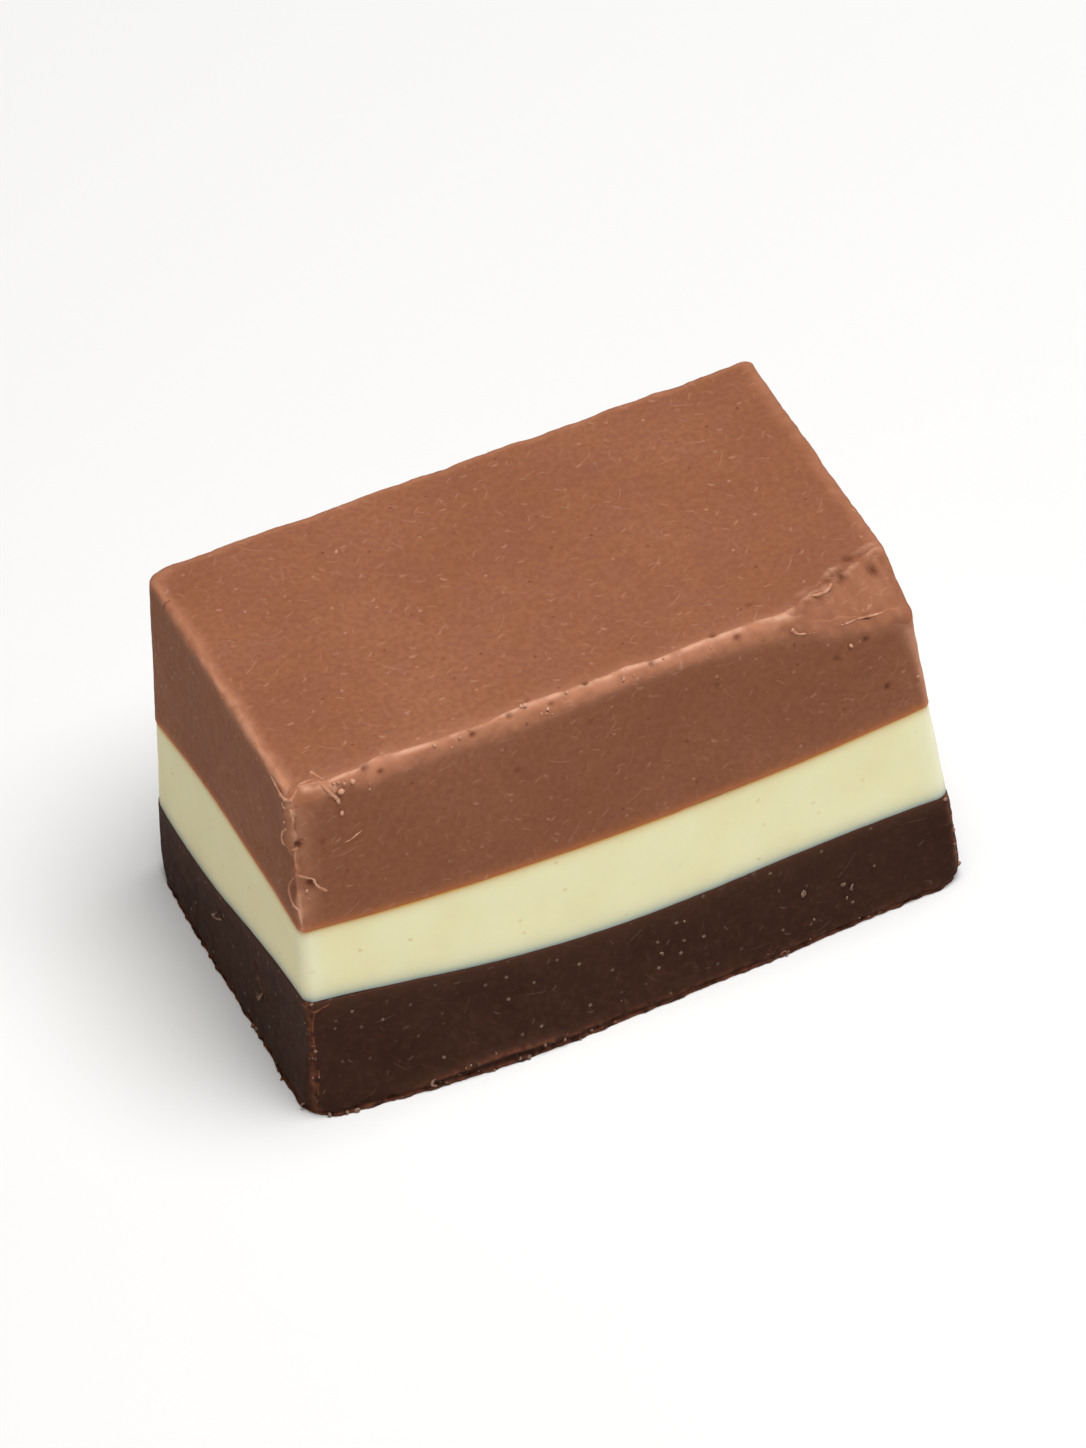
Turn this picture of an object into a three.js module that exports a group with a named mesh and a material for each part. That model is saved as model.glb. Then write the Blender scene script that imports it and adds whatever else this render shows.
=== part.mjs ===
// A block of layered nougat, lying on its dark face: a dark layer at the bottom, a white one on it and
// a milk-brown one on top. The block was cut from a slab that was poured layer on layer, so the borders
// between the layers run in slow waves. Millimetres, +Z up. +X runs along the long side, the front is
// at -Y, and the origin is at the middle of the underside.

import * as THREE from 'three';
import { LoftGeometry } from 'three/addons/geometries/LoftGeometry.js';
import { ImprovedNoise } from 'three/addons/math/ImprovedNoise.js';

// Outer sizes. The block tapers evenly from its underside to its top.
const BASE_LENGTH = 29.6;
const BASE_WIDTH = 17.5;
const TOP_LENGTH = 27.4;
const TOP_WIDTH = 15.6;
const HEIGHT = 16.8;
const TOP_DISH = 0.12; // how far the middle of the top has sunk

// Upright edges: sharp where the block was cut, and rounder at the foot and at one back corner.
const UPRIGHT_RADIUS = 0.35;
const FOOT_EXTRA_RADIUS = 1.15;
const FOOT_RADIUS_HEIGHT = 1.1;
const BACK_LEFT_EXTRA_RADIUS = 0.45;

// Borders between the layers.
const LAYER_GAP = 0.05; // clearance that keeps the three solids apart
const MILK_BORDER_HEIGHT = 9.15;
const MILK_BORDER_END_RISE = 0.85; // it lies higher at both ends of the block
const MILK_BORDER_BACK_DROP = 0.0078; // per square millimetre behind its highest line
const MILK_BORDER_HIGH_LINE = -4.0;
const WHITE_BORDER_HEIGHT = 4.55;
const WHITE_BORDER_TILT = -0.04; // rise per millimetre of x
const WHITE_BORDER_BOW = 0.0035; // rise per square millimetre of x
const WHITE_BORDER_WAVE = 0.25;
const WHITE_BORDER_WAVE_LENGTH = 24;
const WHITE_BORDER_WAVE_START = -2;
const WHITE_BORDER_BACK_DROP = 1.02; // half the drop from the front to the trough near the back
const WHITE_BORDER_TROUGH = 14.5; // distance of that trough from the front
const WHITE_BORDER_DROP_AT_MIDDLE = 0.65; // share of the drop halfway along the block
const WHITE_BORDER_DROP_FADE = 0.0236; // share that it loses per millimetre of x

// Rounding of the top edges, and the places where they are more worn. Two corners of the top are
// chipped off along flat cuts: each leaves the top surface at the line from one point to the other,
// and falls away on its right by so many millimetres for each millimetre.
const TOP_EDGE = 0.3;
const TOP_EDGE_UNEVENNESS = 0.12;
const WORN_PLACES = [
  { x: -1.7, y: -7.9, reach: 2.0, inset: 0.35, drop: 0.4 },
  { x: 9.8, y: -7.9, reach: 1.6, inset: 0.2, drop: 0.6 },
  { x: 4.0, y: 7.9, reach: 2.5, inset: 0.2, drop: 0.2 },
];
const CORNER_CHIPS = [
  { from: [8.2, -7.9], to: [13.4, -5.8], fall: 0.9 },
  { from: [-13.9, -7.0], to: [-11.3, -7.95], fall: 0.95 },
];
const CHIP_SOFTNESS = 0.25; // width over which a cut's upper edge is blunted

// The foot spreads where the soft slab sagged, up to this height.
const FOOT_HEIGHT = 5.0;
const FOOT_BULGES = [
  { x: -5.5, y: -8.8, reach: 6.0, out: 1.0 },
  { x: 5.5, y: -8.8, reach: 4.0, out: 0.35 },
  { x: 4.0, y: 8.8, reach: 7.0, out: 1.0 },
  { x: 15.0, y: 2.0, reach: 4.0, out: 0.2 },
  { x: -15.0, y: 3.0, reach: 3.0, out: 0.15 },
];
const FOOT_LIP_HEIGHT = 0.7;
const FOOT_LIP_OUT = 0.14;
const FOOT_LIP_THICKNESS = 0.3;

// Relief of the walls: slow waves from cutting, and ragged edges.
const WALL_WAVE = 0.07;
const WALL_WAVE_LENGTH = 7.0;
const RAGGED_GRAIN = 1.1; // length of one tooth
const FOOT_RAGGED = 0.24;
const FOOT_RAGGED_HEIGHT = 0.9;
const MILK_RAGGED = 0.35;
const MILK_RAGGED_EDGE = { x: -TOP_LENGTH / 2, y: -TOP_WIDTH / 2, reach: 0.9 };

// Points around the outline, and rings from the bottom to the top of each layer.
const FRONT_STEPS = 46;
const RIGHT_STEPS = 24;
const BACK_STEPS = 38;
const LEFT_STEPS = 24;
const CORNER_STEPS = 7;
const FOOT_RINGS = [
  { height: 0, inset: 0.2 },
  { height: 0.1, inset: 0.06 },
  { height: 0.4, inset: 0 },
  { height: 0.7, inset: 0 },
  { height: 1.0, inset: 0 },
  { height: 1.7, inset: 0 },
  { height: 2.8, inset: 0 },
];
const INNER_SHARES = [0, 0.5, 0.85]; // rings of a face that another layer covers
const TOP_INNER_SHARES = [0.97, 0.93, 0.88, 0.82, 0.74, 0.5, 0];
const WHITE_WALL_SHARES = [0.25, 0.5, 0.75];
const MILK_WALL_SHARES = [0.25, 0.5, 0.75, 1];
const TOP_EDGE_SHARES = [0.25, 0.5, 0.75, 1];

const perlin = new ImprovedNoise();

function noise(x, y, z, grain) {
  return perlin.noise(x / grain + 7.3, y / grain + 1.9, z / grain + 4.7);
}

// How strongly a place with a centre and a reach is felt at (x, y): 1 at its centre, fading to 0.
function nearness(place, x, y) {
  const distance = Math.hypot(x - place.x, y - place.y);
  return Math.exp(-0.5 * (distance / place.reach) ** 2);
}

// The outline is a rounded rectangle, walked anticlockwise as seen from above. Each station is a place
// on it that keeps its meaning at every height: cornerX and cornerY run from -1 to 1 between the
// centres of the four corner arcs, and angle is the direction that the wall faces there.
function makeStations() {
  const sides = [
    { from: [-1, -1], to: [1, -1], angle: -Math.PI / 2, steps: FRONT_STEPS },
    { from: [1, -1], to: [1, 1], angle: 0, steps: RIGHT_STEPS },
    { from: [1, 1], to: [-1, 1], angle: Math.PI / 2, steps: BACK_STEPS },
    { from: [-1, 1], to: [-1, -1], angle: Math.PI, steps: LEFT_STEPS },
  ];
  const stations = [];
  for (const side of sides) {
    for (let i = 0; i < side.steps; i++) {
      const share = i / side.steps;
      stations.push({
        cornerX: THREE.MathUtils.lerp(side.from[0], side.to[0], share),
        cornerY: THREE.MathUtils.lerp(side.from[1], side.to[1], share),
        angle: side.angle,
      });
    }
    for (let i = 0; i < CORNER_STEPS; i++) {
      const turn = (i / CORNER_STEPS) * (Math.PI / 2);
      stations.push({ cornerX: side.to[0], cornerY: side.to[1], angle: side.angle + turn });
    }
  }
  return stations;
}

const stations = makeStations();

function uprightRadius(station, z) {
  const backLeft = ((1 - station.cornerX) / 2) * ((1 + station.cornerY) / 2);
  const foot = Math.exp(-z / FOOT_RADIUS_HEIGHT);
  return UPRIGHT_RADIUS + FOOT_EXTRA_RADIUS * foot + BACK_LEFT_EXTRA_RADIUS * backLeft;
}

// How far the wall stands out from the plain tapered block at a point.
function wallRelief(x, y, z) {
  let out = WALL_WAVE * noise(x, y, z, WALL_WAVE_LENGTH);
  const foot = Math.max(0, 1 - z / FOOT_HEIGHT) ** 2;
  for (const bulge of FOOT_BULGES) {
    out += bulge.out * foot * nearness(bulge, x, y);
  }
  const lip = (z - FOOT_LIP_HEIGHT) / FOOT_LIP_THICKNESS;
  out += FOOT_LIP_OUT * Math.exp(-lip * lip);
  out += FOOT_RAGGED * Math.exp(-z / FOOT_RAGGED_HEIGHT) * noise(x, y, z, RAGGED_GRAIN);
  const milk = THREE.MathUtils.smoothstep(z, MILK_BORDER_HEIGHT, MILK_BORDER_HEIGHT + 2);
  out += MILK_RAGGED * milk * nearness(MILK_RAGGED_EDGE, x, y) * noise(x, y, z, RAGGED_GRAIN);
  return out;
}

// A point of the wall at a station and height, moved inwards by inset.
function wallPoint(station, z, inset = 0) {
  const rise = z / HEIGHT;
  const halfLength = THREE.MathUtils.lerp(BASE_LENGTH, TOP_LENGTH, rise) / 2;
  const halfWidth = THREE.MathUtils.lerp(BASE_WIDTH, TOP_WIDTH, rise) / 2;
  const radius = uprightRadius(station, z);
  const facingX = Math.cos(station.angle);
  const facingY = Math.sin(station.angle);
  const x = station.cornerX * (halfLength - radius) + facingX * radius;
  const y = station.cornerY * (halfWidth - radius) + facingY * radius;
  const out = wallRelief(x, y, z) - inset;
  return new THREE.Vector3(x + facingX * out, y + facingY * out, z);
}

function milkBorder(x, y) {
  const end = (x / (BASE_LENGTH / 2)) ** 2;
  return MILK_BORDER_HEIGHT + MILK_BORDER_END_RISE * end
    - MILK_BORDER_BACK_DROP * (y - MILK_BORDER_HIGH_LINE) ** 2;
}

function whiteBorder(x, y) {
  const wave = Math.cos((2 * Math.PI * (x - WHITE_BORDER_WAVE_START)) / WHITE_BORDER_WAVE_LENGTH);
  const fromFront = y + BASE_WIDTH / 2;
  const trough = 1 - Math.cos((Math.PI * fromFront) / WHITE_BORDER_TROUGH);
  const dropShare = WHITE_BORDER_DROP_AT_MIDDLE - WHITE_BORDER_DROP_FADE * x;
  return WHITE_BORDER_HEIGHT + WHITE_BORDER_TILT * x + WHITE_BORDER_BOW * x * x
    - WHITE_BORDER_WAVE * wave - WHITE_BORDER_BACK_DROP * dropShare * trough;
}

// The wall's point where a border between two layers comes out. The height depends on where the wall
// stands and the wall leans with height, so the two are brought together in a few rounds.
function borderPoint(station, border) {
  let point = wallPoint(station, border(0, 0));
  for (let round = 0; round < 3; round++) {
    point = wallPoint(station, border(point.x, point.y));
  }
  return point;
}

// A covered face follows its border, from the middle of the block out to the wall. The same points
// serve the layer above and the one below, half a gap apart.
function borderRings(border, offset) {
  return [...INNER_SHARES, 1].map((share) => stations.map((station) => {
    const rim = borderPoint(station, border);
    const x = rim.x * share;
    const y = rim.y * share;
    return new THREE.Vector3(x, y, border(x, y) + offset);
  }));
}

function wallRing(lowBorder, highBorder, share) {
  return stations.map((station) => {
    const low = borderPoint(station, lowBorder).z;
    const high = borderPoint(station, highBorder).z;
    return wallPoint(station, THREE.MathUtils.lerp(low, high, share));
  });
}

// How deep a chip's flat cut lies below the plain top at a point.
function chipDepth(chip, x, y) {
  const [fromX, fromY] = chip.from;
  const runX = chip.to[0] - fromX;
  const runY = chip.to[1] - fromY;
  const beyond = (runY * (x - fromX) - runX * (y - fromY)) / Math.hypot(runX, runY);
  return (chip.fall * (beyond + Math.hypot(beyond, CHIP_SOFTNESS))) / 2;
}

function topSurface(x, y) {
  const fromMiddle = Math.hypot(x / TOP_LENGTH, y / TOP_WIDTH) * 2;
  const dish = TOP_DISH * Math.max(0, 1 - fromMiddle ** 2);
  const chipped = CORNER_CHIPS.map((chip) => chipDepth(chip, x, y));
  return HEIGHT - Math.max(dish, ...chipped);
}

// Point on the top edge, from the wall (share 0) to the top (share 1).
function topEdgePoint(station, share) {
  const corner = wallPoint(station, HEIGHT);
  const uneven = TOP_EDGE_UNEVENNESS * noise(corner.x, corner.y, 0, RAGGED_GRAIN);
  let edgeInset = TOP_EDGE + uneven;
  let edgeDrop = TOP_EDGE + uneven;
  for (const place of WORN_PLACES) {
    edgeInset += place.inset * nearness(place, corner.x, corner.y);
    edgeDrop += place.drop * nearness(place, corner.x, corner.y);
  }
  const turn = (share * Math.PI) / 2;
  const inset = edgeInset * (1 - Math.cos(turn));
  const drop = edgeDrop * (1 - Math.sin(turn));
  const { x, y } = wallPoint(station, HEIGHT, inset);
  return wallPoint(station, topSurface(x, y) - drop, inset);
}

function makeDarkLayer() {
  const foot = FOOT_RINGS.map((ring) =>
    stations.map((station) => wallPoint(station, ring.height, ring.inset)));
  const underside = INNER_SHARES.map((share) =>
    foot[0].map((rim) => new THREE.Vector3(rim.x * share, rim.y * share, 0)));
  const cover = borderRings(whiteBorder, -LAYER_GAP / 2).reverse();
  return new LoftGeometry([...underside, ...foot, ...cover]);
}

function makeWhiteLayer() {
  const floor = borderRings(whiteBorder, LAYER_GAP / 2);
  const wall = WHITE_WALL_SHARES.map((share) => wallRing(whiteBorder, milkBorder, share));
  const cover = borderRings(milkBorder, -LAYER_GAP / 2).reverse();
  return new LoftGeometry([...floor, ...wall, ...cover]);
}

function makeMilkLayer() {
  const floor = borderRings(milkBorder, LAYER_GAP / 2);
  const wall = MILK_WALL_SHARES.map((share) => stations.map((station) => {
    const low = borderPoint(station, milkBorder).z;
    const high = topEdgePoint(station, 0).z;
    return wallPoint(station, THREE.MathUtils.lerp(low, high, share));
  }));
  const edge = TOP_EDGE_SHARES.map((share) => stations.map((station) => topEdgePoint(station, share)));
  const rim = edge[edge.length - 1];
  const top = TOP_INNER_SHARES.map((share) => rim.map((point) => {
    const x = point.x * share;
    const y = point.y * share;
    return new THREE.Vector3(x, y, topSurface(x, y));
  }));
  return new LoftGeometry([...floor, ...wall, ...edge, ...top]);
}

function makeLayer(name, geometry, color, roughness) {
  const material = new THREE.MeshStandardMaterial({ color, roughness, metalness: 0 });
  const mesh = new THREE.Mesh(geometry, material);
  mesh.name = name;
  return mesh;
}

const block = new THREE.Group();
block.add(makeLayer('dark_nougat_layer', makeDarkLayer(), 0x3b261e, 0.5));
block.add(makeLayer('white_nougat_layer', makeWhiteLayer(), 0xf0e8c6, 0.45));
block.add(makeLayer('milk_nougat_layer', makeMilkLayer(), 0xa0684e, 0.55));

export default block;
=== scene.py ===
# A block of layered nougat on a pale floor: dark nougat below, white in the middle, milk-brown on top.
import math

import bpy
import numpy as np
from mathutils import Matrix, Vector
from mathutils.bvhtree import BVHTree


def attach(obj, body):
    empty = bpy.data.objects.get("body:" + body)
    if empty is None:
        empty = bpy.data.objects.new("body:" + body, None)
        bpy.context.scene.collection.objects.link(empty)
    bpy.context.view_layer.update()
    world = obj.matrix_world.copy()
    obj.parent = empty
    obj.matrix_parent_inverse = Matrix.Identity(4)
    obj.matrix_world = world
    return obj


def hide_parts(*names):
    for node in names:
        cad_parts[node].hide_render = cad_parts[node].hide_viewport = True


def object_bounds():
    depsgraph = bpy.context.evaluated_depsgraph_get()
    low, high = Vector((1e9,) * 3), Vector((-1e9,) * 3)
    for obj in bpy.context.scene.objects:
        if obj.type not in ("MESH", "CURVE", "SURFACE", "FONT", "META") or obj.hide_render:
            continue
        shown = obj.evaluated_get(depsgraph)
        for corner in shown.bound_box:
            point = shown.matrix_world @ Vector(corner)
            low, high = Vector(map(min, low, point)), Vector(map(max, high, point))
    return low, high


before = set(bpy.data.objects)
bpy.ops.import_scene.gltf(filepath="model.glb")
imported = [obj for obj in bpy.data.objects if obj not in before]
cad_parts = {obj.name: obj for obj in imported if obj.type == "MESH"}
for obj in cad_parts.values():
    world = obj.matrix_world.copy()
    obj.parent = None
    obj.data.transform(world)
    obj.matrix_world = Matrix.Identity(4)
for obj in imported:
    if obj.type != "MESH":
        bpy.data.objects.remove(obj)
solid_low, solid_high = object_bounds()

# ----------------------------------------
# The dark layer, of nougat with cocoa. It was poured first, so it is the foot of the block: its lower
# rim has spread and is ragged, and the cut walls are satin. The whole block tapers upwards from here.
# ----------------------------------------
MM = 0.001
BASE_LENGTH, BASE_WIDTH = 29.6, 17.5
TOP_LENGTH, TOP_WIDTH = 27.4, 15.6
HEIGHT = 16.8
UPRIGHT_RADIUS = 0.35
FOOT_EXTRA_RADIUS, FOOT_RADIUS_HEIGHT = 1.15, 1.1
BACK_LEFT_EXTRA_RADIUS = 0.45
FRONT_STEP, RIGHT_STEP, BACK_STEP, LEFT_STEP = 0.085, 0.13, 0.18, 0.11
CORNER_STATIONS = 14

FOOT_HEIGHT = 5.0
FOOT_BULGES = [
    {"x": -5.5, "y": -8.8, "reach": 6.0, "out": 1.0},
    {"x": 5.5, "y": -8.8, "reach": 4.0, "out": 0.35},
    {"x": 4.0, "y": 8.8, "reach": 7.0, "out": 1.0},
    {"x": 15.0, "y": 2.0, "reach": 4.0, "out": 0.2},
    {"x": -15.0, "y": 3.0, "reach": 3.0, "out": 0.15},
]
# The lip above the foot: how high it runs and how far it stands out at places along the block.
LIP_ALONG = [-12.0, -10.7, -9.2, -6.4, -4.8, -3.4, -2.4, 2.0, 8.0]
LIP_HEIGHTS = [0.25, 0.33, 0.55, 0.68, 0.55, 0.45, 0.4, 0.35, 0.35]
LIP_OUTS = [0.02, 0.10, 0.20, 0.24, 0.22, 0.22, 0.10, 0.12, 0.10]
LIP_THICKNESS = 0.2
FOOT_UNDERCUT = 0.16
RIM_ROUND, RIM_ROUND_HEIGHT = 0.15, 0.07


def outline_stations():
    """Places round the block, anticlockwise from above: corner_x and corner_y run from -1 to 1
    between the centres of the corner arcs, and facing is the direction that the wall faces."""
    turn = math.pi / 2
    sides = [
        ((-1, -1), (1, -1), -turn, FRONT_STEP / BASE_LENGTH),
        ((1, -1), (1, 1), 0, RIGHT_STEP / BASE_WIDTH),
        ((1, 1), (-1, 1), turn, BACK_STEP / BASE_LENGTH),
        ((-1, 1), (-1, -1), 2 * turn, LEFT_STEP / BASE_WIDTH),
    ]
    corner_x, corner_y, facing = [], [], []
    for start, end, angle, step in sides:
        share = np.arange(0, 1, step)
        corner_x.append(start[0] + (end[0] - start[0]) * share)
        corner_y.append(start[1] + (end[1] - start[1]) * share)
        facing.append(np.full(len(share), angle))
        corner_x.append(np.full(CORNER_STATIONS, end[0]))
        corner_y.append(np.full(CORNER_STATIONS, end[1]))
        facing.append(angle + turn * np.arange(CORNER_STATIONS) / CORNER_STATIONS)
    return [np.concatenate(values).astype(float) for values in (corner_x, corner_y, facing)]


corner_x, corner_y, facing = outline_stations()
facing_x, facing_y = np.cos(facing), np.sin(facing)
on_long_side = (np.abs(corner_y) == 1) & (np.abs(corner_x) < 1)
from_arc = np.where(
    on_long_side,
    (1 - np.abs(corner_x)) * BASE_LENGTH / 2,
    (1 - np.abs(corner_y)) * BASE_WIDTH / 2,
)


def bell(distance, reach):
    """1 at no distance, fading to 0 beyond its reach."""
    return np.exp(-0.5 * (distance / reach) ** 2)


def corner_radius(z):
    """Radius of the upright edges at height z, in millimetres."""
    back_left = (1 - corner_x) / 2 * (1 + corner_y) / 2
    spread = FOOT_EXTRA_RADIUS * np.exp(-z / FOOT_RADIUS_HEIGHT)
    return UPRIGHT_RADIUS + spread + BACK_LEFT_EXTRA_RADIUS * back_left


def upright_edge(z, reach):
    """1 along the middle of each upright edge, fading to 0 at this distance round the corner."""
    turned = np.abs(facing % (math.pi / 2) - math.pi / 4)
    return bell(from_arc + turned * corner_radius(z), reach)


def wall(z, inset=0.0, extra_radius=0.0):
    """A ring of points on the block's wall at height z, in millimetres."""
    z = np.broadcast_to(np.asarray(z, float), facing.shape)
    half_length = (BASE_LENGTH + (TOP_LENGTH - BASE_LENGTH) * z / HEIGHT) / 2
    half_width = (BASE_WIDTH + (TOP_WIDTH - BASE_WIDTH) * z / HEIGHT) / 2
    radius = corner_radius(z) + extra_radius
    x = corner_x * (half_length - radius) + facing_x * radius
    y = corner_y * (half_width - radius) + facing_y * radius
    spread = np.maximum(0, 1 - z / FOOT_HEIGHT) ** 2
    out = sum(b["out"] * spread * bell(np.hypot(x - b["x"], y - b["y"]), b["reach"])
              for b in FOOT_BULGES)
    lip = (z - np.interp(x, LIP_ALONG, LIP_HEIGHTS)) / LIP_THICKNESS
    out = out + np.interp(x, LIP_ALONG, LIP_OUTS) * np.exp(-lip * lip) - inset
    return np.column_stack([x + facing_x * out, y + facing_y * out, z])


def white_border(x, y):
    """Height of the border between the dark and the white layer: two slow waves."""
    wave = np.cos(2 * np.pi * (x + 2) / 24)
    trough = 1 - np.cos(np.pi * (y + BASE_WIDTH / 2) / 14.5)
    return 4.55 - 0.04 * x + 0.0035 * x * x - 0.25 * wave - 1.02 * (0.65 - 0.0236 * x) * trough


def border_ring(border):
    """The ring where a border between two layers comes out at the wall."""
    ring = wall(border(0.0, 0.0))
    for _ in range(3):
        ring = wall(border(ring[:, 0], ring[:, 1]))
    return ring


COVER_SHARES = [0, 0.4, 0.8, 0.97]


def border_cover(border, shares):
    """Rings of the hidden face along a border, at these shares of the way from its middle out."""
    rim = border_ring(border)
    rings = []
    for share in shares:
        x, y = rim[:, 0] * share, rim[:, 1] * share
        rings.append(np.column_stack([x, y, border(x, y)]))
    return rings


def mark_points(mesh, mark, values):
    """Keeps a number for each point of a mesh, under this name."""
    mesh.attributes.new(mark, "FLOAT", "POINT").data.foreach_set("value", values)


def put_in_scene(name, data):
    """A new object of this mesh, light or camera, in the scene."""
    piece = bpy.data.objects.new(name, data)
    bpy.context.scene.collection.objects.link(piece)
    return piece


def loft(name, rows):
    """A closed mesh through rings of points from bottom to top, of which the first and last are one point
    each. A row is a ring and its marks: numbers for each point, kept on the mesh under their names."""
    columns = len(facing)
    rings = [ring for ring, _ in rows]
    points = np.vstack([rings[0][:1], *rings[1:-1], rings[-1][:1]]) * MM
    around = np.arange(columns)
    after = np.roll(around, -1)
    faces = [(0, 1 + b, 1 + a) for a, b in zip(around, after)]
    for row in range(len(rings) - 3):
        low = 1 + row * columns
        high = low + columns
        faces += [(low + a, low + b, high + b, high + a) for a, b in zip(around, after)]
    last = len(points) - 1 - columns
    faces += [(last + a, last + b, len(points) - 1) for a, b in zip(around, after)]
    mesh = bpy.data.meshes.new(name)
    mesh.from_pydata(points.tolist(), [], faces)
    for mark in sorted({mark for _, marks in rows for mark in marks}):
        values = [np.broadcast_to(marks.get(mark, 0.0), columns) for _, marks in rows]
        mark_points(mesh, mark, np.concatenate([values[0][:1], *values[1:-1], values[-1][:1]]))
    mesh.shade_smooth()
    return put_in_scene(name, mesh)


def mesh_points(piece):
    """The points of a piece in millimetres, one row each."""
    points = np.empty(3 * len(piece.data.vertices))
    piece.data.vertices.foreach_get("co", points)
    return points.reshape(-1, 3) / MM


def on_surface(piece, places, lift=0.0):
    """The nearest points on a piece to these places, moved out from it by lift, which is one number or
    one for each place. All in millimetres."""
    polygons = [list(face.vertices) for face in piece.data.polygons]
    tree = BVHTree.FromPolygons(mesh_points(piece).tolist(), polygons)
    found = [tree.find_nearest(Vector(place)) for place in places]
    lifts = np.broadcast_to(lift, len(places))
    return np.array([hit[0] + hit[1] * float(lift) for hit, lift in zip(found, lifts)])


MARKED_DEPTH, MARKED_REACH = 0.12, 1.2


def press(piece, places, mark=None):
    """Raises the surface round each place (x, y, z, reach, height), or dents it where height is negative.
    With a mark, each place also counts in that number of the mesh, over MARKED_REACH times its reach
    and fully where it is MARKED_DEPTH deep."""
    points = mesh_points(piece)
    normals = np.empty(3 * len(points))
    piece.data.vertex_normals.foreach_get("vector", normals)
    lift, marked = np.zeros(len(points)), np.zeros(len(points))
    centres = on_surface(piece, [place[:3] for place in places])
    for centre, (_, _, _, reach, height) in zip(centres, places):
        distance = np.linalg.norm(points - centre, axis=1)
        lift += height * bell(distance, reach)
        depth = min(1.0, abs(height) / MARKED_DEPTH)
        marked = np.maximum(marked, depth * bell(distance, MARKED_REACH * reach))
    points += normals.reshape(-1, 3) * lift[:, None]
    piece.data.vertices.foreach_set("co", (points * MM).ravel())
    if mark:
        mark_points(piece.data, mark, marked)
    piece.data.update()


def linear(hex_colour):
    """An sRGB hex colour as linear RGBA."""
    channels = [int(hex_colour[i : i + 2], 16) / 255 for i in (0, 2, 4)]
    return (*[c / 12.92 if c <= 0.04045 else ((c + 0.055) / 1.055) ** 2.4 for c in channels], 1.0)


def connect(tree, node, inputs):
    """Sets inputs of a node, each to a value or to another node's output."""
    for name, value in inputs.items():
        if isinstance(value, bpy.types.NodeSocket):
            tree.links.new(value, node.inputs[name])
        else:
            node.inputs[name].default_value = value


def add(tree, kind, inputs=None, out=0, **settings):
    """Adds a node with these inputs and returns one of its outputs. Settings are its properties."""
    node = tree.nodes.new(kind)
    for name, value in settings.items():
        setattr(node, name, value)
    connect(tree, node, inputs or {})
    return node.outputs[out] if node.outputs else None


def start_tree(name, **inputs):
    """A Geometry Nodes tree with these named inputs and one output, and the sockets that bring them in."""
    tree = bpy.data.node_groups.new(name, "GeometryNodeTree")
    for label, kind in inputs.items():
        tree.interface.new_socket(label.replace("_", " ").title(), in_out="INPUT",
                                  socket_type="NodeSocket" + kind)
    tree.interface.new_socket("Result", in_out="OUTPUT", socket_type="NodeSocketGeometry")
    given = add(tree, "NodeGroupInput").node.outputs
    return tree, {label: given[number] for number, label in enumerate(inputs)}


def end_tree(tree, geometry, finish):
    """Ends a tree: keeps everything above the floor, then Realize Instances and Set Material."""
    place = add(tree, "GeometryNodeInputPosition")
    above = add(tree, "ShaderNodeVectorMath", {0: place, 1: (-1.0, -1.0, 0.0)}, operation="MAXIMUM")
    kept = add(tree, "GeometryNodeSetPosition", {"Geometry": geometry, "Position": above})
    smooth = add(tree, "GeometryNodeSetShadeSmooth", {"Geometry": kept})
    whole = add(tree, "GeometryNodeRealizeInstances", {"Geometry": smooth})
    done = add(tree, "GeometryNodeSetMaterial", {"Geometry": whole, "Material": finish})
    add(tree, "NodeGroupOutput", {0: done})


def roughen(tree, geometry, layers):
    """Moves a surface along its normals by noise. Each layer is a depth, a size and a mask or None."""
    place = add(tree, "GeometryNodeInputPosition")
    total = 0.0
    for depth, size, mask in layers:
        scale = add(tree, "ShaderNodeMath", {0: 1.0, 1: size}, operation="DIVIDE")
        noise = add(tree, "ShaderNodeTexNoise", {"Vector": place, "Scale": scale, "Detail": 3.0})
        lift = add(tree, "ShaderNodeMapRange", {"Value": noise, "From Min": 0.3, "From Max": 0.7,
                                                "To Min": -1.0, "To Max": 1.0}, clamp=False)
        for factor in (depth, mask):
            if factor is not None:
                lift = add(tree, "ShaderNodeMath", {0: lift, 1: factor}, operation="MULTIPLY")
        total = add(tree, "ShaderNodeMath", {0: total, 1: lift})
    normal = add(tree, "GeometryNodeInputNormal")
    offset = add(tree, "ShaderNodeVectorMath", {0: normal, "Scale": total}, operation="SCALE")
    return add(tree, "GeometryNodeSetPosition", {"Geometry": geometry, "Offset": offset})


def surface_tree():
    """The surface of a layer: slow waves and a fine grain where it shows, and teeth where it is worn."""
    tree, given = start_tree(
        "nougat_surface", layer="Geometry", wave_depth="Float", wave_size="Float", grain_depth="Float",
        grain_size="Float", tooth_depth="Float", tooth_size="Float", finish="Material")
    shown, worn = [add(tree, "GeometryNodeInputNamedAttribute", {"Name": name}, data_type="FLOAT")
                   for name in ("shown", "worn")]
    moved = roughen(tree, given["layer"], [(given["wave_depth"], given["wave_size"], shown),
                                           (given["grain_depth"], given["grain_size"], shown),
                                           (given["tooth_depth"], given["tooth_size"], worn)])
    end_tree(tree, moved, given["finish"])
    return tree


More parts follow.
